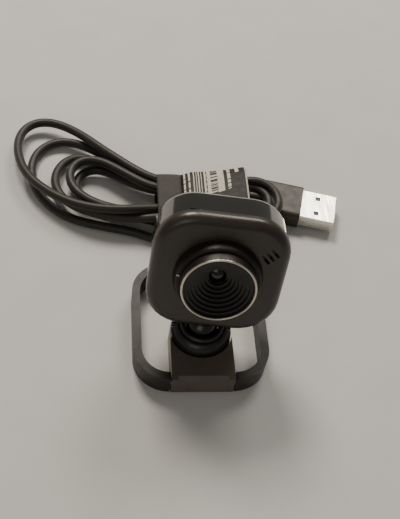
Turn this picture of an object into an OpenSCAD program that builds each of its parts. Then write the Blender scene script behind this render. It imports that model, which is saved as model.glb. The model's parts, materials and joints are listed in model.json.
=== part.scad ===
// Small desk webcam: a square head on a ball and turret, a folding loop stand,
// and its cord, wound into a hank that ends in a USB plug.
// Units are millimetres, +Z is up, the lens looks towards -Y, the table is z = 0.

/* [Stand loop] */
// Outside width of the stand loop
loop_w = 39.6; // [38:0.2:44]
// Outside depth of the stand loop, front to back
loop_d = 40.6; // [38:0.2:46]
// Height of the top of the loop and of the block above the table
loop_h = 7.4; // [7.2:0.1:8]
// Thickness of the loop's strip
loop_t = 2.4; // [2.3:0.1:3]
// Outer radius of the loop's corners
loop_r = 10.5; // [8:0.5:12]
// Radius of the steel pins that the loop folds on
fold_pin_r = 0.75; // [0.6:0.05:0.85]
// Radius of the bushings that the fold pins run in
fold_bush_r = 1.2; // [1.1:0.05:1.3]
// Running clearance of the fold pins, on the radius
fold_clear = 0.05; // [0.03:0.01:0.1]
// Gap between the block's side and the loop's end
fold_gap = 0.25; // [0.2:0.05:0.4]

/* [Block] */
// Width of the block that the turret turns in
block_w = 18.2; // [18:0.1:19]
// How far the block stands out in front of the loop
block_proud = 0.2; // [0:0.1:1]
// Height of the floor that the turret stands on
floor_top = 4; // [3.9:0.1:4.2]
// Thickness of the bottom plate
plate_t = 1.1; // [1:0.1:1.1]
// Height that the rubber pads lift the stand off the table
pad_proud = 0.3; // [0.2:0.1:0.4]
// Thickness of the rubber pads
pad_t = 0.6; // [0.5:0.1:0.7]

/* [Turret and ball] */
// Turret axis, in front of the loop's centre
pivot_y = -4; // [-5:0.5:-3]
// Radius of the turret
turret_r = 9; // [8.6:0.1:9.1]
// Radius of the turret's hub, which turns in the block's floor
hub_r = 4.5; // [4:0.1:5]
// Running clearance of the hub, on the radius
hub_clear = 0.06; // [0.03:0.01:0.1]
// Height of the ball's centre
ball_z = 9.5; // [9.5:0.1:10]
// Radius of the ball
ball_r = 4.6; // [4.2:0.1:4.6]
// Gap all round the ball in its socket
ball_gap = 0.3; // [0.3:0.05:0.4]
// Radius of the tilt pin through the ball
tilt_pin_r = 0.9; // [0.7:0.05:1.1]
// Running clearance of the ball on the tilt pin, on the radius
tilt_clear = 0.05; // [0.03:0.01:0.1]
// Radius of the neck between ball and head
neck_r = 2.4; // [2:0.1:2.5]

/* [Head] */
// Width of the head
head_w = 36.7; // [34:0.1:38]
// Height of the head
head_h = 36.7; // [34:0.1:38]
// Depth of the head's lower edge below the lens axis
head_drop = 18.35; // [18.2:0.05:18.5]
// Corner radius of the head
head_r = 11; // [10:0.5:12]
// Depth of the front plate
plate_d = 3.6; // [3.4:0.1:4]
// Depth of the rear shell
shell_d = 12.9; // [12.5:0.1:14]
// Wall thickness of both halves of the head
wall = 1.5; // [1.3:0.1:1.6]
// Height of the lens axis above the ball's centre
face_v = 25.3; // [25:0.1:26]
// Front face, ahead of the ball's centre
face_n = 9.2; // [9:0.1:9.4]
// How far the head leans back at rest
head_tilt = 16.5; // [10:0.5:20]
// How far the head is turned about the turret axis at rest
head_pan = -4; // [-6:0.5:6]
// How far the head is rolled about the lens axis at rest
head_roll = 3; // [-2:0.5:3.5]

/* [Lens] */
// Radius of the fixed bezel where it meets the face
bezel_r = 12; // [11.8:0.1:12.2]
// Height of the bezel above the face
bezel_h = 3; // [2.6:0.1:3.1]
// Radius of the focus ring's journal in the bezel
journal_r = 9; // [8.8:0.1:9.2]
// Running clearance of the focus ring, on the radius
journal_clear = 0.08; // [0.05:0.01:0.1]
// Outer radius of the silver trim ring
trim_r = 10.05; // [9.95:0.05:10.2]
// How far the trim ring stands in front of the face
trim_n = 5.9; // [5.6:0.1:6.2]
// Radius of the threaded lens cell
cell_r = 3.4; // [3:0.1:3.6]
// Running clearance of the lens cell in its holder, on the radius
cell_clear = 0.05; // [0.03:0.01:0.1]

/* [Cord and plug] */
// Diameter of the cord
cord_d = 3; // [2.8:0.1:3.2]
// Width of the metal plug shell
usb_w = 12; // [11.9:0.1:12.1]
// Thickness of the metal plug shell
usb_t = 4.5; // [4.4:0.1:4.6]
// Length of the metal plug shell outside the grip
usb_len = 11.7; // [11.5:0.1:12]
// Wall of the metal plug shell
usb_wall = 0.35; // [0.3:0.05:0.4]
// Width of the plug's moulded grip
grip_w = 14.2; // [14:0.1:15]
// Length of the plug's moulded grip
grip_len = 13; // [12.5:0.5:13.5]
// Thickness of the plug's moulded grip
grip_t = 6.6; // [6.4:0.1:6.8]

/* [Hidden] */
$fn = 64;
hull_fn = 32;
eps = 0.01;

// Stand: heights and places that follow from the sizes above
plastic_z = pad_proud;
plate_top = plastic_z + plate_t;
block_front = -loop_d / 2 - block_proud;
hinge_y = -loop_d / 2 + loop_t / 2;
hinge_z = (plastic_z + loop_h) / 2;
loop_end = block_w / 2 + fold_gap;
fold_pin_in = 4.2;
fold_pin_out = 2.6;
bush_len = 4.3;
recess_r = turret_r + 0.3;
floor_t = 1.4;
floor_under = floor_top - floor_t;
well_r = 7;
screw_x = 6.4;
screw_y = -13.5;
screw_r = 0.8;
screw_top = 5.4;
screw_head_r = 1.5;
screw_head_z = 0.45;
screw_head_t = 0.7;
weight_size = [9.2, 4.6, 1.9];
weight_y = -14.1;
bevel_w = 15;
bevel = 1.3;
base_pad_r = 6.5;
loop_pad_size = [7, 1.6];
loop_pad_x = 9;

// Turret: the hub hangs through the floor and a disc below holds it in
turret_bottom = floor_top + 0.1;
turret_shoulder = 6.9;
turret_top = 10.7;
turret_top_r = 6.5;
socket_r = ball_r + ball_gap;
hub_bottom = floor_under - 0.1;
retainer_r = 6.4;
retainer_t = 0.75;
ring_h = 0.9;
ring_lip_r = socket_r + 0.1;
tilt_pin_len = 13.6;
friction_r = 2;
friction_bottom = 4.3;
friction_top = ball_z - ball_r - 0.05;
pan_screw_r = 0.7;
pan_head_r = 1.6;
pan_head_t = 0.4;
pan_screw_top = friction_bottom - 0.1;

// Head: depths are measured back from the front face
seam_step = 0.35;
shell_straight = 8;
dome_d = shell_d - shell_straight;
dome_in = 9;
edge_r = 2.6;
head_mid = head_h / 2 - head_drop;
shell_bottom = face_v - head_drop + seam_step;
neck_flange_r = 3.3;
neck_flange_t = 1;
neck_flange_z = shell_bottom + wall + 0.4;
washer_r = 3.9;
washer_t = 0.6;
tab_size = [3.2, 1.2, 0.7];
tab_u = -8.4;

// Openings in the face, and what sits behind them, as [u, v] from the lens axis
mic_at = [12.6, 8.5];
mic_slot = [3.3, 0.75];
mic_pitch = 1.6;
mic_r = 2;
mic_t = 2;
led_at = [-9.8, 5.6];
led_hole_r = 0.6;
led_t = 0.8;
boss_r = 1.9;
boss_at = [[-11, 10.6], [11.5, -11.5]];
tie_at = [[-8, -15.4], [8, -15.4]];
tie_boss_r = 1.4;
tie_hole_r = 1.1;
tie_screw_r = 0.6;
tie_depth = 9.6;
mark_angle = 172;
mark_size = [0.9, 0.35, 0.2];

// Electronics, one behind the other
board_w = 26;
board_t = 1.2;
board_depth = 9.9;
holder_w = 11;
holder_r = 4.8;
holder_front = 4.4;
sensor_size = [6, 6, 0.9];
filter_size = [4.6, 4.6, 0.4];
chip_size = [7, 7, 1];
crystal_size = [4.6, 2, 1.8];
header_size = [8, 4, 3];

// Lens barrel
bezel_top_r = 11.3;
bezel_hole_r = 10.5;
barrel_lip_n = bezel_h + 0.3;
barrel_top_n = trim_n - 0.5;
funnel_r = 8.2;
funnel_mouth_r = 9.45;
trim_edge = 0.15;
funnel_steps = 7;
funnel_throat_r = 2.7;
funnel_bottom_n = -0.6;
lens_r = 2.4;
lens_crown = 0.9;
cell_back_n = -7.4;

// Gland where the cord leaves the head, low on its back, in the head's frame
gland_at = [0, 4.6, 10.2];
gland_down = 30;
gland_r = 2.7;
gland_in = 1.5;
gland_straight = 3;
gland_len = 6.5;
gland_tip_r = 1.9;

// Hank: a left lobe on the table, a middle inside tie and label, and a raised right lobe
lobe_h = 9.4;
waist_x = [-11, 17.2];
waist_y = [37, 55.4];
waist_z = [0.5, 10.4];
waist_round = 2.5;
left_lobe = [[-14, 47, 9.8], [-40, 57, 15], [-43, 70, 15.5]];
right_lobe = [[17, 43, 10.3], [20, 42.9, 10.4]];
right_z = [8.9, 12.4];
tie_x = [-11, -3.2];
label_x = [-3, 15];
tie_wall = 0.8;
label_wall = 0.4;
sleeve_gap = 0.05;

// Plug: its axis runs level, turned a little towards the front
plug_at = [38, 47.7, 3.4];
plug_turn = -14.2;
relief_len = 4.5;
relief_r = [2.8, 2.2];
grip_edge = 1.6;
usb_in = 3;
usb_window = 1.5;
usb_window_at = 5.4;
usb_window_y = 3.3;
tongue_t = 1.9;
contact_pitch = 2.4;
contact_size = [7.5, 1.2, 0.25];

// Routes of the loose cord, point by point
lead_points = [[0.5, 7.9, 13], [0.5, 10.2, 11], [0, 13.5, 9.9], [0, 18, 9.5], [-0.5, 22, 8.8], [-1.5, 26, 6.4],
    [-4, 29.5, 3.6], [-8, 32.5, 2], [-13, 34.5, 1.6], [-18, 36.5, 1.6], [-22, 39.5, 1.6]];
tail_points = [[20.75, 52.06, 3.4], [19.55, 52.58, 3.3], [18.25, 53.54, 3.05], [17.25, 54.81, 2.75],
    [16.63, 56.2, 2.45], [15.77, 57.96, 2.15], [14.42, 59.35, 1.9], [12.71, 60.26, 1.7], [10.69, 60.6, 1.6],
    [6, 60.6, 1.6], [0, 60.6, 1.6], [-6, 60, 1.6], [-12, 58.8, 1.6], [-19, 56, 2]];
tube_sides = 8;

// ---- shared shapes ----

// Flat rounded rectangle, centred
module rounded(w, d, r) {
    square([w - 2 * r, d], center = true);
    square([w, d - 2 * r], center = true);
    for (x = [-1, 1], y = [-1, 1])
        translate([x * (w / 2 - r), y * (d / 2 - r)]) circle(r);
}

// Solid of revolution whose profile is [radius, height]
module turned(points) {
    rotate_extrude() polygon(points);
}

// Frame at the ball's centre, leaning with the head but not rolled
module at_ball() {
    translate([0, pivot_y, ball_z]) rotate([-head_tilt, 0, head_pan]) children();
}

// Frame of the head, leaning and rolled
module at_head() {
    at_ball() rotate([0, head_roll, 0]) children();
}

// Frame on the front face at the lens axis: +Y runs back into the head
module at_face() {
    at_head() translate([0, -face_n, face_v]) children();
}

// Frame on the lens axis with +Z pointing out of the face
module at_lens() {
    at_face() rotate([90, 0, 0]) children();
}

// Box behind the face at [u, v], its front at the given depth
module behind(at, size, depth) {
    at_face() translate([at[0] - size[0] / 2, depth, at[1] - size[1] / 2])
        cube([size[0], size[2], size[1]]);
}

// One thin slice of the head's outline at a depth, drawn in by an inset
module slice(depth, inset) {
    translate([0, depth, head_mid]) rotate([-90, 0, 0]) linear_extrude(eps)
        rounded(head_w - 2 * inset, head_h - 2 * inset, max(head_r - inset, 1), $fn = hull_fn);
}

// Pillow shape of the rear shell, shrunk by t on every side
module pillow(t) {
    hull() {
        slice(plate_d - (t > 0 ? 1 : 0), seam_step + t, $fn = hull_fn);
        for (a = [0:10:80])
            slice(plate_d + shell_straight + (dome_d - t) * sin(a),
                seam_step + t + dome_in * (1 - cos(a)), $fn = hull_fn);
        slice(plate_d + shell_d - t - eps, seam_step + t + dome_in * 0.9, $fn = hull_fn);
    }
}

// Countersunk or pan screw along +Z: the head at the bottom, then the shaft
module screw(head_radius, head_height, radius, length) {
    cylinder(r = head_radius, h = head_height);
    cylinder(r = radius, h = length);
}

// Sleeve of rounded oblong section around the hank's waist
module sleeve(x, gap, t) {
    d = waist_y[1] - waist_y[0];
    h = waist_z[1] - waist_z[0];
    mid = [(waist_y[0] + waist_y[1]) / 2, (waist_z[0] + waist_z[1]) / 2];
    translate([x[0], mid[0], mid[1]]) rotate([90, 0, 90]) linear_extrude(x[1] - x[0])
        difference() {
            rounded(d + 2 * (gap + t), h + 2 * (gap + t), waist_round + gap + t);
            rounded(d + 2 * gap, h + 2 * gap, waist_round + gap);
        }
}

// Tube swept through points, by functions: a ring of sides at every point
function unit(v) = v / norm(v);
function heading(p, i) = unit(p[min(i + 1, len(p) - 1)] - p[max(i - 1, 0)]);
function sideways(t) = unit(cross([0, 0, 1], t));
function ring(p, i, r, n) = let (t = heading(p, i), u = sideways(t), w = cross(t, u))
    [for (k = [0:n - 1]) p[i] + r * (cos(360 * k / n) * u + sin(360 * k / n) * w)];
module tube(p, r, n) {
    last = (len(p) - 1) * n;
    polyhedron(
        points = [for (i = [0:len(p) - 1]) each ring(p, i, r, n)],
        faces = [[for (k = [0:n - 1]) k],
            for (i = [0:len(p) - 2], k = [0:n - 1])
                [i * n + k, (i + 1) * n + k, (i + 1) * n + (k + 1) % n, i * n + (k + 1) % n],
            [for (k = [n - 1:-1:0]) last + k]]);
}

// ---- stand ----

// Outline of the block: square in front, round behind
module block_outline() {
    translate([-block_w / 2, block_front]) square([block_w, pivot_y - block_front]);
    translate([0, pivot_y]) circle(block_w / 2);
}

module base_upper() {
    color("dimgray") difference() {
        translate([0, 0, plate_top]) linear_extrude(loop_h - plate_top) block_outline();
        translate([0, pivot_y, floor_top]) cylinder(r = recess_r, h = loop_h);
        translate([0, pivot_y, 0]) cylinder(r = hub_r + hub_clear, h = loop_h);
        translate([0, pivot_y, 0]) cylinder(r = well_r, h = floor_under);
        translate([-weight_size[0] / 2 - 0.1, weight_y - weight_size[1] / 2 - 0.1, 0])
            cube([weight_size[0] + 0.2, weight_size[1] + 0.2, plate_top + weight_size[2] + 0.1]);
        for (x = [-1, 1]) {
            translate([x * screw_x, screw_y, 0]) cylinder(r = screw_r, h = screw_top);
            translate([x * (block_w / 2 - bush_len), hinge_y, hinge_z]) rotate([0, x * 90, 0])
                cylinder(r = fold_bush_r, h = loop_w);
        }
        translate([0, block_front, loop_h]) rotate([45, 0, 0])
            cube([bevel_w, bevel * sqrt(2), bevel * sqrt(2)], center = true);
    }
}

module base_lower() {
    color("dimgray") difference() {
        translate([0, 0, plastic_z]) linear_extrude(plate_t) block_outline();
        translate([0, pivot_y, 0]) cylinder(r = base_pad_r, h = pad_t);
        for (x = [-1, 1]) {
            translate([x * screw_x, screw_y, 0]) cylinder(r = screw_r, h = loop_h);
            translate([x * screw_x, screw_y, 0]) cylinder(r = screw_head_r, h = screw_head_z + screw_head_t);
        }
    }
}

module base_pad() {
    color("black") translate([0, pivot_y, 0]) cylinder(r = base_pad_r, h = pad_t);
}

module base_screw(side) {
    color("silver") translate([side * screw_x, screw_y, screw_head_z])
        screw(screw_head_r, screw_head_t, screw_r, screw_top - screw_head_z - 0.2);
}
module base_screw_left() { base_screw(-1); }
module base_screw_right() { base_screw(1); }

module base_weight() {
    color("gray") translate([-weight_size[0] / 2, weight_y - weight_size[1] / 2, plate_top])
        cube(weight_size);
}

module pin_bush(side) {
    color("ivory") translate([side * block_w / 2, hinge_y, hinge_z]) rotate([0, -side * 90, 0])
        difference() {
            cylinder(r = fold_bush_r, h = bush_len);
            translate([0, 0, -1]) cylinder(r = fold_pin_r + fold_clear, h = bush_len + 2);
        }
}
module pin_bush_left() { pin_bush(-1); }
module pin_bush_right() { pin_bush(1); }

module loop() {
    color("dimgray") difference() {
        translate([0, 0, plastic_z]) linear_extrude(loop_h - plastic_z) difference() {
            rounded(loop_w, loop_d, loop_r);
            rounded(loop_w - 2 * loop_t, loop_d - 2 * loop_t, loop_r - loop_t);
            translate([-loop_end, -loop_d]) square([2 * loop_end, loop_d]);
        }
        for (x = [-1, 1]) {
            translate([x * loop_end, hinge_y, hinge_z]) rotate([0, x * 90, 0])
                translate([0, 0, -1]) cylinder(r = fold_pin_r, h = fold_pin_out + 1);
            translate([x * loop_pad_x - loop_pad_size[0] / 2,
                    (loop_d - loop_t - loop_pad_size[1]) / 2, 0])
                cube([loop_pad_size[0], loop_pad_size[1], pad_t]);
        }
    }
}

module loop_pin(side) {
    color("silver") translate([side * (block_w / 2 - fold_pin_in), hinge_y, hinge_z])
        rotate([0, side * 90, 0]) cylinder(r = fold_pin_r, h = fold_pin_in + fold_gap + fold_pin_out);
}
module loop_pin_left() { loop_pin(-1); }
module loop_pin_right() { loop_pin(1); }

module loop_pad(side) {
    color("black") translate([side * loop_pad_x - loop_pad_size[0] / 2,
            (loop_d - loop_t - loop_pad_size[1]) / 2, 0])
        cube([loop_pad_size[0], loop_pad_size[1], pad_t]);
}
module loop_pad_left() { loop_pad(-1); }
module loop_pad_right() { loop_pad(1); }

// ---- turret ----

module turret() {
    drop = turret_top - turret_shoulder;
    color("black") difference() {
        translate([0, pivot_y, 0]) turned([[0, hub_bottom], [hub_r, hub_bottom], [hub_r, turret_bottom],
            [turret_r, turret_bottom], [turret_r, turret_shoulder],
            for (a = [10:10:90]) [turret_top_r + (turret_r - turret_top_r) * cos(a),
                turret_shoulder + drop * sin(a)],
            [0, turret_top]]);
        translate([0, pivot_y, ball_z]) sphere(r = socket_r);
        translate([0, pivot_y, ball_z]) cylinder(r = socket_r, h = turret_top);
        translate([0, pivot_y, ball_z]) rotate([0, 90, head_pan])
            cylinder(r = tilt_pin_r, h = 2 * turret_r + 2, center = true);
        translate([0, pivot_y, friction_bottom]) cylinder(r = friction_r, h = 1);
        translate([0, pivot_y, 0]) cylinder(r = pan_screw_r, h = pan_screw_top);
    }
}

module turret_ring() {
    color("black") translate([0, pivot_y, turret_top])
        turned([[ring_lip_r, 0], [turret_top_r, 0], [turret_top_r - 0.1, ring_h * 0.4],
            [turret_top_r - 0.4, ring_h * 0.8], [turret_top_r - 0.8, ring_h], [ring_lip_r, ring_h]]);
}

module tilt_pin() {
    color("silver") translate([0, pivot_y, ball_z]) rotate([0, 90, head_pan])
        cylinder(r = tilt_pin_r, h = tilt_pin_len, center = true);
}

module friction_pad() {
    color("saddlebrown") translate([0, pivot_y, friction_bottom])
        cylinder(r = friction_r, h = friction_top - friction_bottom);
}

module pan_retainer() {
    color("ivory") translate([0, pivot_y, hub_bottom - retainer_t]) difference() {
        cylinder(r = retainer_r, h = retainer_t);
        translate([0, 0, -1]) cylinder(r = pan_screw_r, h = retainer_t + 2);
        translate([0, 0, -1]) cylinder(r = pan_head_r, h = 1 + pan_head_t);
    }
}

module pan_screw() {
    start = hub_bottom - retainer_t;
    color("silver") translate([0, pivot_y, start])
        screw(pan_head_r, pan_head_t, pan_screw_r, pan_screw_top - start);
}

// ---- head ----

module ball_stud() {
    color("black") difference() {
        union() {
            at_ball() sphere(r = ball_r);
            at_head() cylinder(r = neck_r, h = neck_flange_z + neck_flange_t);
            at_head() translate([0, 0, neck_flange_z]) cylinder(r = neck_flange_r, h = neck_flange_t);
        }
        at_ball() rotate([0, 90, 0]) cylinder(r = tilt_pin_r + tilt_clear, h = 4 * ball_r, center = true);
        at_gland() translate([0, 0, -gland_in - 0.1]) cylinder(r = gland_r + 0.1, h = gland_len);
    }
}

module neck_washer() {
    color("dimgray") at_head() translate([0, 0, shell_bottom - washer_t]) difference() {
        cylinder(r = washer_r, h = washer_t);
        translate([0, 0, -1]) cylinder(r = neck_r + 0.05, h = washer_t + 2);
    }
}

// The three sound slots, side by side along the face's diagonal
module mic_slots() {
    for (k = [-1:1])
        translate([mic_at[0], 0, mic_at[1]]) rotate([0, 45, 0]) translate([0, 0, k * mic_pitch])
            cube([mic_slot[0], 4 * wall, mic_slot[1]], center = true);
}

module face_plate() {
    skirt = wall + 0.4;
    color("black") at_face() difference() {
        union() {
            difference() {
                hull() {
                    for (a = [0:15:90]) slice(edge_r * (1 - sin(a)), edge_r * (1 - cos(a)), $fn = hull_fn);
                    slice(plate_d - eps, 0, $fn = hull_fn);
                }
                translate([0, wall, head_mid]) rotate([-90, 0, 0]) linear_extrude(plate_d)
                    rounded(head_w - 2 * skirt, head_h - 2 * skirt, head_r - skirt);
            }
            for (p = boss_at) translate([p[0], wall, p[1]]) rotate([-90, 0, 0])
                cylinder(r = boss_r, h = board_depth - wall);
            for (p = tie_at) translate([p[0], wall, p[1]]) rotate([-90, 0, 0])
                cylinder(r = tie_boss_r, h = plate_d);
        }
        translate([0, wall, 0]) rotate([90, 0, 0]) cylinder(r = bezel_hole_r, h = 4 * wall, center = true);
        mic_slots();
        translate([led_at[0], wall, led_at[1]]) rotate([90, 0, 0])
            cylinder(r = led_hole_r, h = 4 * wall, center = true);
        for (p = boss_at) translate([p[0], wall + 1, p[1]]) rotate([-90, 0, 0])
            cylinder(r = screw_r, h = board_depth);
        for (p = tie_at) translate([p[0], wall + 0.5, p[1]]) rotate([-90, 0, 0])
            cylinder(r = tie_screw_r, h = plate_d);
    }
}

module rear_shell() {
    color("black") difference() {
        at_face() union() {
            difference() {
                pillow(0);
                difference() {
                    pillow(wall);
                    for (p = tie_at) translate([p[0], plate_d + wall, p[1]]) rotate([-90, 0, 0])
                        cylinder(r = tie_boss_r + 0.4, h = shell_d);
                }
            }
            translate([tab_u - tab_size[0] / 2, plate_d,
                    head_mid + head_h / 2 - tab_size[2] / 2 - seam_step])
                cube(tab_size);
        }
        at_face() for (p = tie_at) {
            translate([p[0], plate_d, p[1]]) rotate([-90, 0, 0]) cylinder(r = tie_screw_r, h = shell_d + 2);
            translate([p[0], tie_depth, p[1]]) rotate([-90, 0, 0]) cylinder(r = tie_hole_r, h = shell_d);
        }
        at_head() translate([0, 0, shell_bottom - 1]) cylinder(r = neck_r + 0.05, h = wall + 2);
        at_gland() translate([0, 0, -gland_in]) cylinder(r = gland_r, h = gland_len + 5);
    }
}

module lens_bezel() {
    color("black") at_lens() turned([[journal_r + journal_clear, -wall], [bezel_hole_r, -wall],
        [bezel_hole_r, 0], [bezel_r, 0], [bezel_r, 0.5], [bezel_top_r + 0.15, bezel_h - 0.5],
        [bezel_top_r - 0.1, bezel_h - 0.15], [bezel_top_r - 0.4, bezel_h],
        [journal_r + journal_clear, bezel_h]]);
}

// Painted line on the bezel's top that the focus ring is set against
module index_mark() {
    color("white") at_lens() rotate([0, 0, mark_angle])
        translate([(bezel_top_r + journal_r) / 2 + 0.45, -mark_size[1] / 2, bezel_h])
            cube(mark_size);
}

module mic_capsule() {
    color("silver") at_face() translate([mic_at[0], wall + 0.2, mic_at[1]]) rotate([-90, 0, 0])
        cylinder(r = mic_r, h = mic_t);
}

module status_led() {
    color("lightgreen") behind(led_at, [1.6, 0.8, led_t], board_depth - led_t);
}

module led_window() {
    color("whitesmoke") at_face() translate([led_at[0], 0.1, led_at[1]]) rotate([-90, 0, 0])
        cylinder(r = led_hole_r, h = board_depth - led_t - 0.3);
}

module circuit_board() {
    color("darkgreen") at_face() difference() {
        translate([0, board_depth, 0]) rotate([-90, 0, 0]) linear_extrude(board_t)
            rounded(board_w, board_w, 3);
        for (p = boss_at) translate([p[0], board_depth - 1, p[1]]) rotate([-90, 0, 0])
            cylinder(r = screw_r, h = board_t + 2);
    }
}

module lens_holder() {
    color("dimgray") at_face() difference() {
        union() {
            translate([-holder_w / 2, board_depth - 2.2, -holder_w / 2]) cube([holder_w, 2.2, holder_w]);
            translate([0, holder_front, 0]) rotate([-90, 0, 0]) cylinder(r = holder_r, h = board_depth - holder_front);
        }
        translate([0, holder_front - 1, 0]) rotate([-90, 0, 0])
            cylinder(r = cell_r + cell_clear, h = board_depth - holder_front - 1);
        translate([-4, board_depth - 2, -4]) cube([8, 3, 8]);
    }
}

module image_sensor() {
    color("goldenrod") behind([0, 0], sensor_size, board_depth - sensor_size[2]);
}

module ir_filter() {
    color("lightcyan") behind([0, 0], filter_size, board_depth - sensor_size[2] - filter_size[2]);
}

module controller_chip() {
    color("black") behind([0, 2], chip_size, board_depth + board_t);
}

module crystal() {
    color("silver") behind([8.5, 5], crystal_size, board_depth + board_t);
}

module cable_header() {
    color("ivory") behind([-4, -8], header_size, board_depth + board_t);
}

module board_screw(k) {
    color("silver") at_face() translate([boss_at[k][0], board_depth + board_t + 0.6, boss_at[k][1]])
        rotate([90, 0, 0]) screw(screw_head_r, 0.6, screw_r, 5);
}
module board_screw_a() { board_screw(0); }
module board_screw_b() { board_screw(1); }

module shell_screw(k) {
    color("silver") at_face() translate([tie_at[k][0], tie_depth + 0.8, tie_at[k][1]])
        rotate([90, 0, 0]) screw(tie_hole_r, 0.8, tie_screw_r, 7.4);
}
module shell_screw_a() { shell_screw(0); }
module shell_screw_b() { shell_screw(1); }

// Frame of the gland: +Z is the way the cord leaves
module at_gland() {
    at_head() translate(gland_at) rotate([-90 - gland_down, 0, 0]) children();
}

module cord_gland() {
    color("black") at_gland() turned([[0, -gland_in], [gland_r, -gland_in], [gland_r, gland_straight],
        [gland_r - 0.5, gland_straight + 0.6], [gland_tip_r, gland_len], [0, gland_len]]);
}

// ---- focus ring ----

module focus_ring() {
    color("black") at_lens() turned([[funnel_r, -wall + 0.1], [journal_r, -wall + 0.1], [journal_r, barrel_lip_n],
        [trim_r + 0.35, barrel_lip_n], [trim_r, barrel_top_n], [funnel_mouth_r, barrel_top_n],
        [funnel_mouth_r, barrel_lip_n], [funnel_r, barrel_lip_n]]);
}

module trim_ring() {
    color("silver") at_lens() turned([[funnel_mouth_r, barrel_top_n], [trim_r, barrel_top_n],
        [trim_r, trim_n - trim_edge], [trim_r - trim_edge, trim_n], [funnel_mouth_r + trim_edge, trim_n],
        [funnel_mouth_r, trim_n - trim_edge]]);
}

// Stepped light trap between the mouth and the lens
module funnel() {
    mouth_n = barrel_top_n + 0.4;
    rise = (mouth_n - funnel_bottom_n - 0.8) / funnel_steps;
    tread = (funnel_mouth_r - 0.3 - funnel_throat_r) / funnel_steps;
    color("black") at_lens() turned([
        [funnel_throat_r, funnel_bottom_n],
        for (k = [0:funnel_steps - 1]) each [
            [funnel_throat_r + k * tread, funnel_bottom_n + 0.8 + k * rise],
            [funnel_throat_r + (k + 1) * tread, funnel_bottom_n + 0.8 + k * rise]],
        [funnel_mouth_r - 0.3, mouth_n], [funnel_mouth_r, mouth_n],
        [funnel_mouth_r, barrel_lip_n], [funnel_r, barrel_lip_n], [funnel_r, funnel_bottom_n]]);
}

module lens_cell() {
    color("dimgray") at_lens() difference() {
        translate([0, 0, cell_back_n]) cylinder(r = cell_r, h = funnel_bottom_n - cell_back_n);
        translate([0, 0, funnel_bottom_n - 0.7]) cylinder(r = lens_r, h = 2);
        translate([0, 0, cell_back_n - 1]) cylinder(r = 1.6, h = 10);
    }
}

// Front lens: a disc with a shallow dome
module lens_front() {
    sphere_r = (lens_r * lens_r + lens_crown * lens_crown) / (2 * lens_crown);
    color("midnightblue") at_lens() translate([0, 0, funnel_bottom_n - 0.7]) intersection() {
        cylinder(r = lens_r, h = 0.2 + lens_crown);
        translate([0, 0, 0.2 + lens_crown - sphere_r]) sphere(r = sphere_r);
    }
}

// ---- cord ----

module cord_lead() {
    color("black") tube(lead_points, cord_d / 2, tube_sides);
}

module cord_tail() {
    color("black") tube(tail_points, cord_d / 2, tube_sides);
}

// Outer shape of the wound cord
module cord_hank() {
    d = waist_y[1] - waist_y[0];
    h = waist_z[1] - waist_z[0];
    mid = [(waist_y[0] + waist_y[1]) / 2, (waist_z[0] + waist_z[1]) / 2];
    color("black") union() {
        difference() {
            linear_extrude(lobe_h) hull()
                for (c = left_lobe) translate([c[0], c[1]]) circle(c[2], $fn = hull_fn);
            translate([waist_x[0] - 0.05, 0, -1]) cube([60, 100, lobe_h + 2]);
        }
        translate([waist_x[0] - 0.05, mid[0], mid[1]]) rotate([90, 0, 90])
            linear_extrude(waist_x[1] - waist_x[0] + 0.05) rounded(d, h, waist_round);
        difference() {
            translate([0, 0, right_z[0]]) linear_extrude(right_z[1] - right_z[0]) hull()
                for (c = right_lobe) translate([c[0], c[1]]) circle(c[2], $fn = hull_fn);
            translate([waist_x[1] - 60, 0, 0]) cube([60, 100, 20]);
        }
    }
}

module cord_tie() {
    color("black") sleeve(tie_x, sleeve_gap, tie_wall - sleeve_gap - 0.35);
}

module label_wrap() {
    color("darkslategray") sleeve(label_x, sleeve_gap, label_wall);
}

// ---- plug ----

// Frame of the plug: origin where the shell leaves the grip, +X towards its mouth
module at_plug() {
    translate(plug_at) rotate([0, 0, plug_turn]) children();
}

module plug_relief() {
    color("dimgray") at_plug() translate([-grip_len, 0, 0]) rotate([0, -90, 0])
        cylinder(r1 = relief_r[0], r2 = relief_r[1], h = relief_len, $fn = 48);
}

module plug_grip() {
    color("dimgray") at_plug() difference() {
        translate([-grip_len, 0, 0]) rotate([90, 0, 90]) linear_extrude(grip_len)
            rounded(grip_w, grip_t, grip_edge);
        translate([-usb_in, -usb_w / 2, -usb_t / 2]) cube([usb_in + 1, usb_w, usb_t]);
    }
}

module plug_shell() {
    color("silver") at_plug() difference() {
        translate([-usb_in, -usb_w / 2, -usb_t / 2]) cube([usb_in + usb_len, usb_w, usb_t]);
        translate([-usb_in - 1, -usb_w / 2 + usb_wall, -usb_t / 2 + usb_wall])
            cube([usb_in + usb_len + 2, usb_w - 2 * usb_wall, usb_t - 2 * usb_wall]);
        for (y = [-1, 1])
            translate([usb_window_at, y * usb_window_y, 0])
                cube([usb_window, usb_window, 2 * usb_t], center = true);
    }
}

module plug_tongue() {
    color("white") at_plug()
        translate([-usb_in, -usb_w / 2 + usb_wall, usb_t / 2 - usb_wall - tongue_t])
            cube([usb_in + usb_len - 0.6, usb_w - 2 * usb_wall, tongue_t]);
}

// Gold strips on the tongue's lower face
module contact(k) {
    color("gold") at_plug()
        translate([usb_len - 1.6 - contact_size[0], (k - 2.5) * contact_pitch - contact_size[1] / 2,
                usb_t / 2 - usb_wall - tongue_t - contact_size[2]])
            cube(contact_size);
}
module contact_1() { contact(1); }
module contact_2() { contact(2); }
module contact_3() { contact(3); }
module contact_4() { contact(4); }

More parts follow.
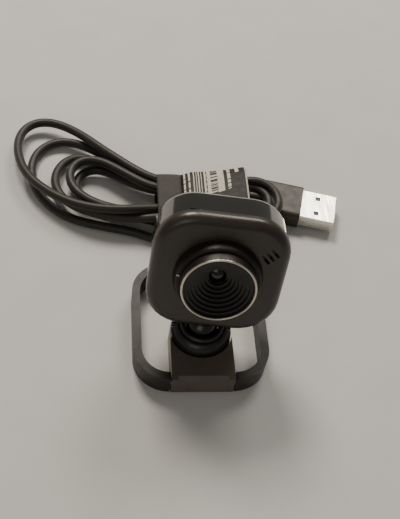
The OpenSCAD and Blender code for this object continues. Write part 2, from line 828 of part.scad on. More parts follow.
base_upper();
base_lower();
base_pad();
base_screw_left();
base_screw_right();
base_weight();
pin_bush_left();
pin_bush_right();
loop();
loop_pin_left();
loop_pin_right();
loop_pad_left();
loop_pad_right();
turret();
turret_ring();
tilt_pin();
friction_pad();
pan_retainer();
pan_screw();
ball_stud();
neck_washer();
face_plate();
rear_shell();
lens_bezel();
index_mark();
mic_capsule();
status_led();
led_window();
circuit_board();
lens_holder();
image_sensor();
ir_filter();
controller_chip();
crystal();
cable_header();
board_screw_a();
board_screw_b();
shell_screw_a();
shell_screw_b();
cord_gland();
focus_ring();
trim_ring();
funnel();
lens_cell();
lens_front();
cord_lead();
cord_hank();
cord_tail();
cord_tie();
label_wrap();
plug_relief();
plug_grip();
plug_shell();
plug_tongue();
contact_1();
contact_2();
contact_3();
contact_4();
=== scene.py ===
import json
import math

import bpy
import numpy as np
from mathutils import Matrix, Vector


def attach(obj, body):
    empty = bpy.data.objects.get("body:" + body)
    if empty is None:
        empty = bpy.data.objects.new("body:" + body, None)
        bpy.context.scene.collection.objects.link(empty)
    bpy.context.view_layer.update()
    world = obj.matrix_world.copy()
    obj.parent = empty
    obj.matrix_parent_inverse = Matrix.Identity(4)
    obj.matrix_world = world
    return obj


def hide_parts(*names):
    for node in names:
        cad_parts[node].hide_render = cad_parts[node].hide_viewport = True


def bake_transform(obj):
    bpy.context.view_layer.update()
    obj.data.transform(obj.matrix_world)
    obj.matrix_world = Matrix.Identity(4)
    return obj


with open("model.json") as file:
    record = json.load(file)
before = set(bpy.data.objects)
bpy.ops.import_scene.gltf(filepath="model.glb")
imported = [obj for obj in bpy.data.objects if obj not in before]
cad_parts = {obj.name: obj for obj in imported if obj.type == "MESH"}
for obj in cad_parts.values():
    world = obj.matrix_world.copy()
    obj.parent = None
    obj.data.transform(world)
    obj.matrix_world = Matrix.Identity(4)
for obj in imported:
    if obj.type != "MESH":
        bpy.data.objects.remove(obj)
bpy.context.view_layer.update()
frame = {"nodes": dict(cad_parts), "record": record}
nodes = frame["nodes"]
MM = 0.001

# ---------------------------------------------------------------- camera

PHOTO_LONG = 519
FOCAL_PX = 850.0
SENSOR = 36.0
AIM = Vector((2.8, 27.5, 0.0)) * MM
DISTANCE = 274.3 * MM
PITCH, YAW, ROLL = math.radians(52.4), math.radians(-12.3), math.radians(10.6)


def make_camera():
    turn = Matrix.Rotation(YAW, 3, "Z")
    ahead = turn @ Vector((0, math.cos(PITCH), -math.sin(PITCH)))
    right = turn @ Vector((1, 0, 0))
    up = right.cross(ahead)
    c, s = math.cos(ROLL), math.sin(ROLL)
    right, up = right * c + up * s, up * c - right * s
    data = bpy.data.cameras.new("camera")
    data.sensor_width = SENSOR
    data.sensor_fit = "AUTO"
    data.lens = FOCAL_PX / PHOTO_LONG * SENSOR
    data.clip_start, data.clip_end = 0.01, 20
    camera = bpy.data.objects.new("camera", data)
    bpy.context.scene.collection.objects.link(camera)
    place = Matrix((right, up, -ahead)).transposed().to_4x4()
    place.translation = AIM - ahead * DISTANCE
    camera.matrix_world = place
    bpy.context.scene.camera = camera


make_camera()

# ---------------------------------------------------------------- materials


class Nodes:
    """Short way to build a node tree around one Principled shader."""

    def __init__(self, name):
        self.material = bpy.data.materials.new(name)
        self.material.use_nodes = True
        self.tree = self.material.node_tree
        self.shader = next(n for n in self.tree.nodes if n.type == "BSDF_PRINCIPLED")
        self.place = self.add("ShaderNodeTexCoord").outputs["Object"]

    def add(self, kind, **sockets):
        node = self.tree.nodes.new(kind)
        for name, value in sockets.items():
            self.feed(node.inputs[name.replace("_", " ")], value)
        return node

    def feed(self, socket, value):
        if isinstance(value, bpy.types.NodeSocket):
            self.tree.links.new(value, socket)
        else:
            socket.default_value = value

    def set(self, **sockets):
        for name, value in sockets.items():
            self.feed(self.shader.inputs[name.replace("_", " ")], value)
        return self

    def noise(self, scale, detail=3.0, rough=0.5, where=None):
        return self.add("ShaderNodeTexNoise", Vector=where or self.place, Scale=scale,
                        Detail=detail, Roughness=rough).outputs["Fac"]

    def ramp(self, factor, *stops):
        node = self.add("ShaderNodeValToRGB", Fac=factor)
        while len(node.color_ramp.elements) < len(stops):
            node.color_ramp.elements.new(0.5)
        for element, (at, colour) in zip(node.color_ramp.elements, stops):
            element.position = at
            element.color = (*colour, 1)
        return node.outputs["Color"]

    def spread(self, factor, low, high, start=0.3, end=0.7):
        node = self.add("ShaderNodeMapRange", Value=factor)
        for i, v in enumerate((start, end, low, high)):
            node.inputs[i + 1].default_value = v
        return node.outputs["Result"]

    def math(self, kind, a, b=None):
        node = self.tree.nodes.new("ShaderNodeMath")
        node.operation = kind
        self.feed(node.inputs[0], a)
        if b is not None:
            self.feed(node.inputs[1], b)
        return node.outputs[0]

    def mix(self, factor, a, b):
        node = self.tree.nodes.new("ShaderNodeMix")
        node.data_type = "RGBA"
        for socket, value in zip([s for s in node.inputs if s.enabled], (factor, a, b)):
            self.feed(socket, (*value, 1) if isinstance(value, tuple) else value)
        return next(s for s in node.outputs if s.enabled)

    def bump(self, height, distance, strength=1.0, normal=None):
        node = self.add("ShaderNodeBump", Height=height, Distance=distance, Strength=strength)
        if normal is not None:
            self.feed(node.inputs["Normal"], normal)
        return node.outputs["Normal"]


def shade(colour, factor):
    return tuple(min(1.0, c * factor) for c in colour)


def moulded(name, colour, rough, grain=2600.0, depth=0.00002, gloss=0.0, worn=1.25, spec=0.5):
    """Moulded plastic: a fine mould grain, soft blotches of colour and uneven polish."""
    m = Nodes(name)
    blotch = m.noise(110.0, 4.0)
    fine = m.noise(grain, 2.0)
    smear = m.noise(420.0, 5.0, 0.6)
    m.set(
        Base_Color=m.ramp(blotch, (0.3, shade(colour, 0.86)), (0.55, colour), (0.8, shade(colour, worn))),
        Roughness=m.spread(smear, rough * 0.86, min(1.0, rough * 1.16)),
        Normal=m.bump(smear, depth * 2, 0.35, m.bump(fine, depth, 0.6)),
        Coat_Weight=gloss, Coat_Roughness=0.06, Specular_IOR_Level=spec,
    )
    return m.material


def metal(name, colour, rough, brushed=(1, 1, 1), grain=900.0):
    """Bare or plated metal: fine drawn lines, a few dull spots."""
    m = Nodes(name)
    scaled = m.add("ShaderNodeMapping", Vector=m.place, Scale=brushed).outputs["Vector"]
    lines = m.noise(grain, 3.0, 0.6, scaled)
    spots = m.noise(240.0, 4.0)
    m.set(
        Base_Color=m.ramp(spots, (0.3, shade(colour, 0.88)), (0.6, colour), (0.8, shade(colour, 1.06))),
        Roughness=m.spread(lines, rough * 0.75, rough * 1.35),
        Normal=m.bump(lines, 0.00001, 0.5), Metallic=1.0,
    )
    return m.material


def rubber(name, colour, rough=0.62):
    return moulded(name, colour, rough, 3600.0, 0.00003, 0.0, 1.4, 0.35)


def coated_glass(name, tint):
    m = Nodes(name)
    film = m.noise(300.0, 2.0)
    # Base colour darkens where the glass faces the view and brightens towards grazing angles: a painted reflection
    facing = m.add("ShaderNodeLayerWeight", Blend=0.35).outputs["Facing"]
    m.set(
        Base_Color=m.ramp(facing, (0.0, shade(tint, 0.25)), (0.45, tint), (1.0, shade(tint, 1.9))),
        Roughness=m.spread(film, 0.05, 0.12), Coat_Weight=0.3, Coat_Roughness=0.05,
        Specular_IOR_Level=0.5,
    )
    return m.material


def laminate(name):
    m = Nodes(name)
    cell = m.add("ShaderNodeTexVoronoi", Vector=m.place, Scale=620.0).outputs["Distance"]
    weave = m.noise(1800.0, 2.0)
    m.set(
        Base_Color=m.ramp(cell, (0.12, (0.30, 0.42, 0.12)), (0.2, (0.02, 0.14, 0.05)), (0.8, (0.03, 0.2, 0.08))),
        Roughness=m.spread(weave, 0.3, 0.5), Normal=m.bump(weave, 0.00002, 0.6), Coat_Weight=0.3,
    )
    return m.material


def felt(name, colour):
    m = Nodes(name)
    fibre = m.noise(2200.0, 6.0, 0.75)
    m.set(
        Base_Color=m.ramp(fibre, (0.3, shade(colour, 0.6)), (0.7, shade(colour, 1.4))),
        Normal=m.bump(fibre, 0.0001, 1.0), Roughness=m.spread(fibre, 0.85, 1.0), Sheen_Weight=0.4,
    )
    return m.material


def paint(name, colour, rough=0.5):
    m = Nodes(name)
    chips = m.noise(3000.0, 5.0, 0.7)
    m.set(
        Base_Color=m.ramp(chips, (0.34, shade(colour, 0.55)), (0.42, colour), (0.9, shade(colour, 1.1))),
        Roughness=m.spread(chips, rough * 0.8, rough * 1.2), Normal=m.bump(chips, 0.00001, 0.5),
    )
    return m.material


def clear(name, colour, painted_glow=0.0):
    m = Nodes(name)
    haze = m.noise(1500.0, 3.0)
    m.set(
        Base_Color=m.ramp(haze, (0.3, shade(colour, 0.85)), (0.7, colour)),
        Roughness=m.spread(haze, 0.08, 0.2), Coat_Weight=0.8,
        # Emission_Strength lights the part up: a painted glow, the part is no lamp
        Emission_Color=(*colour, 1), Emission_Strength=painted_glow,
    )
    return m.material


LOOKS = {
    # block_plastic: the base colour sits about four times above the loop's so the block's top reads bright; this
    # lighter tone is a painted highlight
    "block_plastic": moulded("block_plastic", (0.105, 0.088, 0.066), 0.36, 2400.0, 0.00002, 0.15, 1.25),
    "loop_plastic": moulded("loop_plastic", (0.026, 0.022, 0.018), 0.42, 2800.0, 0.00002, 0.0, 1.3, 0.3),
    "turret_plastic": moulded("turret_plastic", (0.011, 0.010, 0.008), 0.34, 2600.0, 0.00002, 0.1, 1.3),
    "ball_plastic": moulded("ball_plastic", (0.009, 0.008, 0.007), 0.26, 2200.0, 0.00001, 0.2, 1.2),
    "face_satin": moulded("face_satin", (0.027, 0.020, 0.013), 0.34, 3400.0, 0.000022, 0.12, 1.25),
    "shell_gloss": moulded("shell_gloss", (0.010, 0.010, 0.008), 0.12, 900.0, 0.000003, 0.9, 1.2),
    "bezel_gloss": moulded("bezel_gloss", (0.014, 0.011, 0.008), 0.42, 1500.0, 0.000005, 0.0, 1.2, 0.3),
    "trim_silver": metal("trim_silver", (0.62, 0.58, 0.50), 0.30, (1, 1, 1), 1800.0),
    "funnel_black": moulded("funnel_black", (0.007, 0.006, 0.005), 0.46, 2600.0, 0.00003, 0.0, 1.2),
    "lens_glass": coated_glass("lens_glass", (0.006, 0.005, 0.006)),
    "filter_glass": coated_glass("filter_glass", (0.02, 0.10, 0.12)),
    "sensor_face": metal("sensor_face", (0.30, 0.22, 0.34), 0.15),
    "rubber_pad": rubber("rubber_pad", (0.016, 0.015, 0.014)),
    "screw_steel": metal("screw_steel", (0.52, 0.51, 0.49), 0.28),
    "pin_steel": metal("pin_steel", (0.60, 0.59, 0.57), 0.22, (0.1, 1, 1)),
    "weight_steel": metal("weight_steel", (0.34, 0.33, 0.31), 0.45),
    "bush_plastic": moulded("bush_plastic", (0.55, 0.52, 0.42), 0.4),
    "friction_felt": felt("friction_felt", (0.22, 0.12, 0.05)),
    "mark_paint": paint("mark_paint", (0.62, 0.58, 0.48)),
    "can_metal": metal("can_metal", (0.58, 0.57, 0.55), 0.25),
    # led_lens and clear_window carry a painted glow through emission; neither is a lit lamp
    "led_lens": clear("led_lens", (0.80, 0.86, 0.62), 0.6),
    "clear_window": clear("clear_window", (0.74, 0.72, 0.62), 0.15),
    "board_laminate": laminate("board_laminate"),
    "chip_black": moulded("chip_black", (0.018, 0.018, 0.019), 0.55, 3000.0, 0.00003),
    "header_nylon": moulded("header_nylon", (0.62, 0.58, 0.48), 0.45),
    "grip_plastic": moulded("grip_plastic", (0.036, 0.030, 0.021), 0.46, 2000.0, 0.00004, 0.0, 1.2),
    "plug_nickel": metal("plug_nickel", (0.95, 0.92, 0.84), 0.34, (1, 0.06, 1), 1400.0),
    "tongue_plastic": moulded("tongue_plastic", (0.03, 0.028, 0.024), 0.4),
    "contact_gold": metal("contact_gold", (0.88, 0.64, 0.28), 0.22, (0.06, 1, 1)),
}


def cord_jacket():
    """Soft vinyl: dust, a cloudy tone and a broad sheen."""
    m = Nodes("cord_jacket")
    dust = m.noise(800.0, 6.0, 0.7)
    cloud = m.noise(90.0, 3.0)
    base = (0.017, 0.014, 0.010)
    m.set(
        Base_Color=m.mix(m.spread(dust, 0.0, 0.35, 0.55, 0.8),
                         m.ramp(cloud, (0.3, shade(base, 0.8)), (0.7, shade(base, 1.3))),
                         (0.060, 0.050, 0.036)),
        Roughness=m.spread(dust, 0.40, 0.54), Normal=m.bump(dust, 0.00003, 0.5),
        Specular_IOR_Level=0.35, Sheen_Weight=0.15, Sheen_Roughness=0.5,
    )
    return m.material


def strap_look():
    """Woven tie band with a napped face."""
    m = Nodes("tie_strap")
    uv = m.add("ShaderNodeUVMap").outputs["UV"]
    axes = m.add("ShaderNodeSeparateXYZ", Vector=uv)
    across = m.math("SINE", m.math("MULTIPLY", axes.outputs[0], 2 * math.pi / 0.55))
    along = m.math("SINE", m.math("MULTIPLY", axes.outputs[1], 2 * math.pi / 0.45))
    weave = m.math("MULTIPLY", across, along)
    nap = m.noise(1500.0, 6.0, 0.7)
    base = (0.022, 0.018, 0.011)
    m.set(
        Base_Color=m.ramp(nap, (0.25, shade(base, 0.65)), (0.55, base), (0.8, shade(base, 1.6))),
        Roughness=m.spread(nap, 0.55, 0.8),
        Normal=m.bump(nap, 0.00005, 0.6, m.bump(weave, 0.00004, 0.5)), Sheen_Weight=0.25,
    )
    return m.material


# Columns on the label, from its left edge, in mm: start, end and the step of its marks
LABEL_COLUMNS = [
    (0.7, 1.3, 0.9), (2.2, 2.8, 1.3), (3.8, 4.15, 0), (4.7, 4.95, 0), (5.4, 5.8, 0), (6.3, 6.55, 0),
    (14.9, 15.9, 1.2),
]
PANEL = (7.3, 13.8)
PANEL_DASHES = (7.9, 8.3)
PANEL_BARS = (9.4, 11.7)
PRINT_BAND = (3.2, 16.2)
SHORT_COLUMN = (17.6, 18.8)
SHORT_BAND = (3.2, 9.4)
FILM_EDGE = 20.7


def label_look():
    """Black film with a pale panel, plain bars and dashes. v runs round the label in mm."""
    m = Nodes("label_film")
    uv = m.add("ShaderNodeUVMap").outputs["UV"]
    axes = m.add("ShaderNodeSeparateXYZ", Vector=uv)
    u, v = axes.outputs[0], axes.outputs[1]

    def between(x, low, high):
        return m.math("MULTIPLY", m.math("GREATER_THAN", x, low), m.math("LESS_THAN", x, high))

    def dashes(step, share, seed):
        cell = m.math("FLOOR", m.math("DIVIDE", v, step))
        noise = m.add("ShaderNodeTexWhiteNoise")
        noise.noise_dimensions = "1D"
        m.feed(noise.inputs["W"], m.math("ADD", cell, seed))
        return m.math("LESS_THAN", noise.outputs["Value"], share)

    printed = between(v, *PRINT_BAND)
    ink = between(u, *PANEL)
    bars = m.math("MULTIPLY", between(u, *PANEL_BARS), dashes(0.28, 0.52, 3.0))
    ink = m.math("SUBTRACT", ink, bars)
    small = m.math("MULTIPLY", between(u, *PANEL_DASHES), dashes(0.35, 0.6, 11.0))
    ink = m.math("SUBTRACT", ink, small)
    for k, (low, high, step) in enumerate(LABEL_COLUMNS):
        column = between(u, low, high)
        if step:
            column = m.math("MULTIPLY", column, dashes(step * 0.4, 0.72, 20.0 + k))
        ink = m.math("ADD", ink, column)
    ink = m.math("MULTIPLY", ink, printed)
    short = m.math("MULTIPLY", between(u, *SHORT_COLUMN), between(v, *SHORT_BAND))
    ink = m.math("ADD", ink, short)
    edge = m.math("GREATER_THAN", u, FILM_EDGE)
    ink = m.math("MINIMUM", m.math("ADD", ink, edge), 1.0)
    wear = m.noise(700.0, 5.0, 0.65)
    film = m.ramp(wear, (0.3, (0.016, 0.015, 0.013)), (0.7, (0.030, 0.027, 0.022)))
    white = m.ramp(wear, (0.3, (0.46, 0.43, 0.35)), (0.6, (0.62, 0.58, 0.50)))
    m.set(
        Base_Color=m.mix(ink, film, white), Roughness=m.spread(wear, 0.45, 0.6),
        Normal=m.bump(m.noise(160.0, 2.0), 0.0002, 0.25), Specular_IOR_Level=0.2,
    )
    return m.material


LOOKS["cord_jacket"] = cord_jacket()
LOOKS["tie_strap"] = strap_look()
LOOKS["label_film"] = label_look()

# ---------------------------------------------------------------- mesh helpers


def add_mesh(name, points, faces, look, body=None, smooth=True, uv=None):
    mesh = bpy.data.meshes.new(name)
    mesh.from_pydata([tuple(p) for p in points], [], faces)
    mesh.validate()
    if uv is not None:
        layer = mesh.uv_layers.new(name="UVMap")
        for loop in mesh.loops:
            layer.data[loop.index].uv = uv[loop.vertex_index]
    mesh.polygons.foreach_set("use_smooth", [smooth] * len(mesh.polygons))
    mesh.update()
    obj = bpy.data.objects.new(name, mesh)
    bpy.context.scene.collection.objects.link(obj)
    mesh.materials.append(LOOKS[look])
    if body:
        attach(obj, body)
    return obj


def dense(points, step):
    """Smooth curve through the points, one point every step."""
    p = np.array(points, float)
    p = np.vstack([2 * p[0] - p[1], p, 2 * p[-1] - p[-2]])
    out = []
    for a, b, c, d in zip(p, p[1:], p[2:], p[3:]):
        ta, tb, tc = (max(np.linalg.norm(y - x), 1e-9) ** 0.5 for x, y in ((a, b), (b, c), (c, d)))
        m1 = (b - a) / ta - (c - a) / (ta + tb) + (c - b) / tb
        m2 = (c - b) / tb - (d - b) / (tb + tc) + (d - c) / tc
        for t in np.linspace(0, 1, 24, endpoint=False):
            h = [2 * t**3 - 3 * t**2 + 1, t**3 - 2 * t**2 + t, 3 * t**2 - 2 * t**3, t**3 - t**2]
            out.append(h[0] * b + h[1] * m1 * tb + h[2] * c + h[3] * m2 * tb)
    out.append(p[-2])
    return even(np.array(out), step)


def even(p, step):
    s = np.concatenate([[0], np.cumsum(np.linalg.norm(np.diff(p, axis=0), axis=1))])
    at = np.linspace(0, s[-1], int(round(s[-1] / step)) + 1)
    return np.stack([np.interp(at, s, p[:, k]) for k in range(3)], 1)


def tube(path, radius, sides=14):
    """Points and faces of a tube along a path, with closed ends. radius is a number or one per point."""
    path = np.asarray(path, float)
    r = np.broadcast_to(radius, len(path))
    tangent = np.gradient(path, axis=0)
    tangent /= np.linalg.norm(tangent, axis=1)[:, None]
    side = np.cross(tangent[0], (0, 0, 1.0))
    side /= np.linalg.norm(side)
    points, angles = [], np.arange(sides) * 2 * math.pi / sides
    for p, t, q in zip(path, tangent, r):
        side = side - t * side.dot(t)
        side /= np.linalg.norm(side)
        up = np.cross(t, side)
        points += [p + q * (side * math.cos(a) + up * math.sin(a)) for a in angles]
    faces = [[i * sides + k, i * sides + (k + 1) % sides, (i + 1) * sides + (k + 1) % sides,
              (i + 1) * sides + k] for i in range(len(path) - 1) for k in range(sides)]
    faces += [list(range(sides))[::-1], [(len(path) - 1) * sides + k for k in range(sides)]]
    return points, faces


# ---------------------------------------------------------------- cord

CORD_D = 3.0
def half_turn(middle, radius, heights):
    """Points of a turn at the right end, from its back to its front."""
    points = []
    for a in range(90, -91, -30):
        share = (90 - a) / 180
        points.append((middle[0] + radius * math.cos(math.radians(a)), middle[1] + radius * math.sin(math.radians(a)),
                       heights[0] + (heights[1] - heights[0]) * share))
    return points


LEAD = [(0, 14.2, 9.95), (0, 18, 9.75), (-0.5, 22, 9.5), (-1.5, 26, 7.9), (-3.8, 29.6, 4.9), (-7.6, 32.4, 2.6),
        (-13, 34.9, 1.6), (-18, 36.8, 1.6), (-24, 38.4, 1.6)]
LOOP_LOW = [(-30.2, 39.6, 1.6), (-38.3, 41.8, 1.6), (-43.3, 44.9, 1.6), (-48.2, 50.2, 1.6),
            (-51.2, 55.6, 1.6), (-52.5, 61.1, 1.6), (-52.6, 66.6, 1.6), (-50.8, 71.9, 1.6),
            (-46.2, 75.9, 1.8), (-39.8, 76.6, 2.2), (-32, 71.8, 2.8), (-23, 63, 3), (-14, 56, 2.4)]
TURN_1 = ([(-7, 53.5, 2.05), (4, 53.3, 2.05)] + half_turn((10.45, 46.35), 6.85, (2.05, 2.05))
          + [(4, 39.4, 2.05), (-6, 39.7, 2.1)])
LOOP_INNER = [(-14, 42, 2.3), (-22, 44, 2.4), (-30, 46.6, 2.2), (-35.8, 50.4, 1.9), (-38.2, 56.2, 1.7),
              (-36.2, 62, 1.8), (-30.2, 63.8, 2.6), (-22, 58.6, 3.9), (-14.6, 53.4, 4.9)]
TURN_2 = ([(-7, 51.5, 5.1), (4, 51.5, 5.1)] + half_turn((10.75, 45.2), 6.3, (5.1, 5.1))
          + [(4, 38.9, 5.1), (-6, 39.2, 5.2)])
LOOP_MIDDLE = [(-14.7, 41.2, 5.8), (-25.1, 43, 6.2), (-30.9, 45.2, 6.1), (-36.2, 48.8, 5.8),
               (-39.6, 53.8, 5.4), (-40, 59.6, 5.4), (-37, 64.2, 5.8), (-31, 64.9, 6.3), (-25, 60.6, 6.8),
               (-17.9, 55, 7.5), (-12.7, 51, 8)]
TURN_3 = ([(-7, 50.2, 8.15), (4, 50.2, 8.15), (11, 50.4, 8.2)] + half_turn((20, 45.2), 5.9, (9, 8.7))
          + [(14.2, 40.4, 8.4), (9.5, 41.6, 8.15), (4, 41.9, 8.15), (-6, 41.9, 8.2)])
LOOP_TOP = [(-14.8, 40.6, 8.8), (-21.7, 40.4, 8.9), (-30.3, 41.1, 8.5), (-39, 44.1, 7.5),
            (-47.8, 50.7, 6.4), (-52.2, 55.5, 5.6), (-55.4, 61.6, 4.9), (-57.4, 69.9, 4),
            (-57.3, 77, 3.4), (-54.6, 82.6, 3.1), (-50, 84.8, 3.1), (-43.7, 83, 3.8), (-36.1, 77, 5.2),
            (-28.6, 68.6, 6.7), (-21.4, 61.8, 7.4), (-12, 54.6, 8)]
TURN_4 = ([(-7, 53.3, 8.15), (4, 53.3, 8.15), (11, 53.3, 8.35), (15.5, 53, 9.2)]
          + half_turn((20.9, 44.6), 7.9, (10.7, 9.6))
          + [(15.5, 37.8, 8.8), (10.5, 38.7, 8.3), (4, 38.9, 8.15), (-6, 38.9, 8)])
LOOP_LAST = [(-14.7, 38.8, 6.8), (-21.5, 39.8, 5.8), (-28.6, 41, 5.1), (-35.5, 43.6, 4.7),
             (-40.5, 47, 4.4), (-43.8, 52.2, 3.8), (-44.9, 57.2, 3.2), (-43.8, 62.6, 2.6),
             (-41.1, 67.4, 2.4), (-36, 69.8, 2.4), (-30.1, 68.2, 2.6), (-24.5, 64, 2.2)]
TAIL = [(-18.5, 60.4, 1.7), (-12, 59.8, 1.6), (-6, 60.2, 1.6), (0, 60.6, 1.6), (6, 60.6, 1.6),
        (10.69, 60.6, 1.6), (12.71, 60.26, 1.7), (14.42, 59.35, 1.9), (15.77, 57.96, 2.15),
        (16.63, 56.2, 2.45), (17.25, 54.81, 2.75), (18.25, 53.54, 3.05), (19.55, 52.58, 3.3),
        (21.04, 51.99, 3.4), (23.1, 51.47, 3.4)]
ROUTE = (LEAD + LOOP_LOW + TURN_1 + LOOP_INNER + TURN_2 + LOOP_MIDDLE + TURN_3 + LOOP_TOP + TURN_4
         + LOOP_LAST + TAIL)


def settle(path, gap, rounds):
    """Lets crossing turns ride over each other: points of different turns move a cord apart."""
    n = len(path)
    inside_waist = (path[:, 0] > -8) & (path[:, 1] > 36)
    ends = (np.arange(n) < 26) | (np.arange(n) > n - 24)
    free = (~inside_waist & ~ends).astype(float)
    index = np.arange(n)
    apart = np.abs(index[:, None] - index[None]) > 9
    for turn in range(rounds):
        off = path[:, None] - path[None]
        distance = np.linalg.norm(off, axis=2)
        close = apart & (distance < gap)
        push = np.where(close, (gap - distance) / np.maximum(distance, 1e-6), 0)[..., None] * off
        push = push.sum(1) / np.maximum(close.sum(1), 1)[:, None]
        push *= (0.25, 0.25, 0.6)
        path = path + push * free[:, None]
        fair = np.zeros_like(path)
        fair[1:-1] = (path[:-2] + path[2:]) / 2 - path[1:-1]
        path = path + fair * free[:, None] * (0.05, 0.05, 0.3)
        path[:, 2] = np.maximum(path[:, 2], CORD_D / 2 + 0.02)
    return path


route = settle(dense(ROUTE, 1.5), CORD_D + 0.12, 160)
route = even(route, 1.1) * MM
cord = add_mesh("cord", *tube(route, CORD_D / 2 * MM), "cord_jacket")
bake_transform(cord)
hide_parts("cord_lead", "cord_hank", "cord_tail")

# Ribbed strain boot from the gland to the cord
BOOT = [(0.54, 7.5, 13.2), (0.4, 9.2, 12.0), (0.15, 11.5, 10.8), (0, 14.2, 10.0), (0, 17.6, 9.55)]
boot_path = dense(BOOT, 0.16)
along = np.linspace(0, 1, len(boot_path))
ribs = 0.17 * (np.sin(along * 2 * math.pi * 7) > 0.1) * (along < 0.9) * (along > 0.08)
boot = add_mesh("strain_boot", *tube(boot_path * MM, (2.25 - 0.6 * along + ribs) * MM, 20), "cord_jacket")
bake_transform(boot)

# ---------------------------------------------------------------- tie and label

WAIST_Y, WAIST_Z, WAIST_ROUND = (37.0, 55.4), (0.5, 10.4), 2.5


def waist_ring(out, count, sag=0.0):
    """Points of the oblong section round the waist, out mm outside it, with the arc length at each."""
    cy, cz = sum(WAIST_Y) / 2, sum(WAIST_Z) / 2
    hy, hz = (WAIST_Y[1] - WAIST_Y[0]) / 2 + out, (WAIST_Z[1] - WAIST_Z[0]) / 2 + out
    r = WAIST_ROUND + out
    corners = [((hy - r), (hz - r), 0), (-(hy - r), (hz - r), 90), (-(hy - r), -(hz - r), 180),
               ((hy - r), -(hz - r), 270)]
    line = []
    for y, z, start in corners:
        for a in np.radians(np.linspace(start, start + 90, 9)):
            line.append((y + r * math.cos(a), z + r * math.sin(a)))
    line = np.array(line + [line[0]])
    s = np.concatenate([[0], np.cumsum(np.linalg.norm(np.diff(line, axis=0), axis=1))])
    at = np.linspace(0, s[-1], count, endpoint=False)
    ring = np.stack([np.interp(at, s, line[:, 0]), np.interp(at, s, line[:, 1])], 1)
    ring[:, 1] += sag * (ring[:, 1] > 0) * np.sin(ring[:, 0] * 2.1) * 0.5
    return ring + (cy, cz), at


def band(name, x_of, out_of, thick, columns, count, look):
    """Band round the waist. x_of and out_of take the share across the band and the ring's angle share."""
    points, uv = [], []
    for layer in (1, 0):
        for i in range(columns + 1):
            w = i / columns
            for k in range(count):
                x = x_of(w, k / count)
                ring, at = waist_ring(out_of(w, k / count) - (0 if layer else thick), count)
                points.append((x * MM, ring[k, 0] * MM, max(ring[k, 1], 0.02) * MM))
                uv.append((x - x_of(0, k / count), at[k]))
    faces, size = [], (columns + 1) * count
    for i in range(columns):
        for k in range(count):
            a, b = i * count + k, i * count + (k + 1) % count
            c, d = b + count, a + count
            faces += [[a, d, c, b], [size + a, size + b, size + c, size + d]]
    for k in range(count):
        a, b = k, (k + 1) % count
        faces.append([a, b, size + b, size + a])
        a, b = columns * count + k, columns * count + (k + 1) % count
        faces.append([b, a, size + a, size + b])
    return add_mesh(name, points, faces, look, "stand", uv=uv)


def tie_out(w, a):
    edge = 4 * w * (1 - w)
    return 0.38 + 0.22 * edge ** 0.5 + 0.05 * math.sin(a * 40)


def label_out(w, a):
    top = max(0.0, math.sin(a * 2 * math.pi + 0.25)) ** 0.5
    return 0.42 + top * (1.2 * min(1, w * 6) + 2.9 * w ** 1.5 + 0.12 * math.sin(w * 7 + a * 9))


def label_x(w, a):
    top = min(1.0, max(0.0, 2.2 * math.sin(a * 2 * math.pi + 0.25)))
    return -3.0 + w * (18.0 + 3.2 * top)


tie = band("cord_tie_strap", lambda w, a: -11 + 7.9 * w, tie_out, 0.34, 14, 96, "tie_strap")
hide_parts("cord_tie")
label = band("label_film_wrap", label_x, label_out, 0.1, 26, 128, "label_film")
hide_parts("label_wrap")

# ---------------------------------------------------------------- CAD nodes: edges and finish

BEVELS = {
    "loop": 0.85, "base_upper": 0.45, "base_lower": 0.25, "face_plate": 0.12, "rear_shell": 0.15,
    "turret": 0.3, "turret_ring": 0.12, "lens_bezel": 0.12, "focus_ring": 0.14, "trim_ring": 0.1,
    "funnel": 0.05, "plug_shell": 0.28, "plug_grip": 0.8, "cord_gland": 0.2, "plug_relief": 0.2, "base_pad": 0.15,
    "lens_front": 0.05, "ball_stud": 0.12, "tilt_pin": 0.1, "plug_tongue": 0.1,
}
SLOT_OF = {p["node"]: p["material_slot"] for p in frame["record"]["subparts"]}


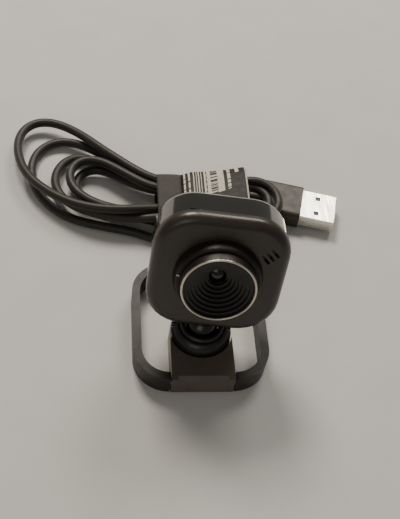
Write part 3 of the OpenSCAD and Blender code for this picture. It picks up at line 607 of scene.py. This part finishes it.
def finish_node(name, obj):
    look = SLOT_OF.get(name)
    mesh = obj.data
    if look in LOOKS:
        mesh.materials.clear()
        mesh.materials.append(LOOKS[look])
    if "custom_normal" in mesh.attributes:
        mesh.attributes.remove(mesh.attributes["custom_normal"])
    mesh.polygons.foreach_set("use_smooth", [True] * len(mesh.polygons))
    weld = obj.modifiers.new("weld", "WELD")
    weld.merge_threshold = 0.000002
    width = BEVELS.get(name, 0.06)
    bevel = obj.modifiers.new("edges", "BEVEL")
    bevel.width = width * MM
    bevel.segments = 3
    bevel.limit_method = "ANGLE"
    bevel.angle_limit = math.radians(32)
    bevel.harden_normals = False
    normals = obj.modifiers.new("normals", "WEIGHTED_NORMAL")
    normals.weight = 60
    normals.keep_sharp = False


for node_name, node in nodes.items():
    finish_node(node_name, node)

# ---------------------------------------------------------------- stage and light


def look_at(obj, target):
    obj.rotation_euler = (Vector(target) - obj.location).to_track_quat("-Z", "Y").to_euler()


def lamp(name, at, target, size, power, colour):
    data = bpy.data.lights.new(name, "AREA")
    data.shape = "RECTANGLE"
    data.size, data.size_y = size
    data.energy = power
    data.color = colour
    obj = bpy.data.objects.new(name, data)
    obj.location = at
    look_at(obj, target)
    bpy.context.scene.collection.objects.link(obj)


lamp("key", (-0.18, 0.68, 0.85), (0, 0.02, 0.02), (0.30, 0.30), 9.0, (1.0, 0.93, 0.82))
lamp("right", (0.36, 0.72, 0.78), (0.03, 0.04, 0.0), (0.40, 0.30), 4.5, (1.0, 0.94, 0.86))
lamp("front", (-0.35, -0.75, 0.70), (0, 0.02, 0.02), (0.6, 0.6), 1.2, (1.0, 0.95, 0.90))

world = bpy.data.worlds.new("world")
world.use_nodes = True
world.node_tree.nodes["Background"].inputs["Color"].default_value = (0.80, 0.78, 0.74, 1)
world.node_tree.nodes["Background"].inputs["Strength"].default_value = 0.24
bpy.context.scene.world = world

floor_look = Nodes("floor")
floor_fine = floor_look.noise(60.0, 5.0)
floor_look.set(
    Base_Color=floor_look.ramp(floor_fine, (0.3, (0.60, 0.59, 0.56)), (0.7, (0.63, 0.62, 0.59))),
    Roughness=0.85,
)
floor_mesh = bpy.data.meshes.new("floor")
floor_mesh.from_pydata([(-3, -3, -0.00005), (3, -3, -0.00005), (3, 3, -0.00005), (-3, 3, -0.00005)], [],
                       [(0, 1, 2, 3)])
floor_mesh.materials.append(floor_look.material)
floor = bpy.data.objects.new("floor", floor_mesh)
bpy.context.scene.collection.objects.link(floor)
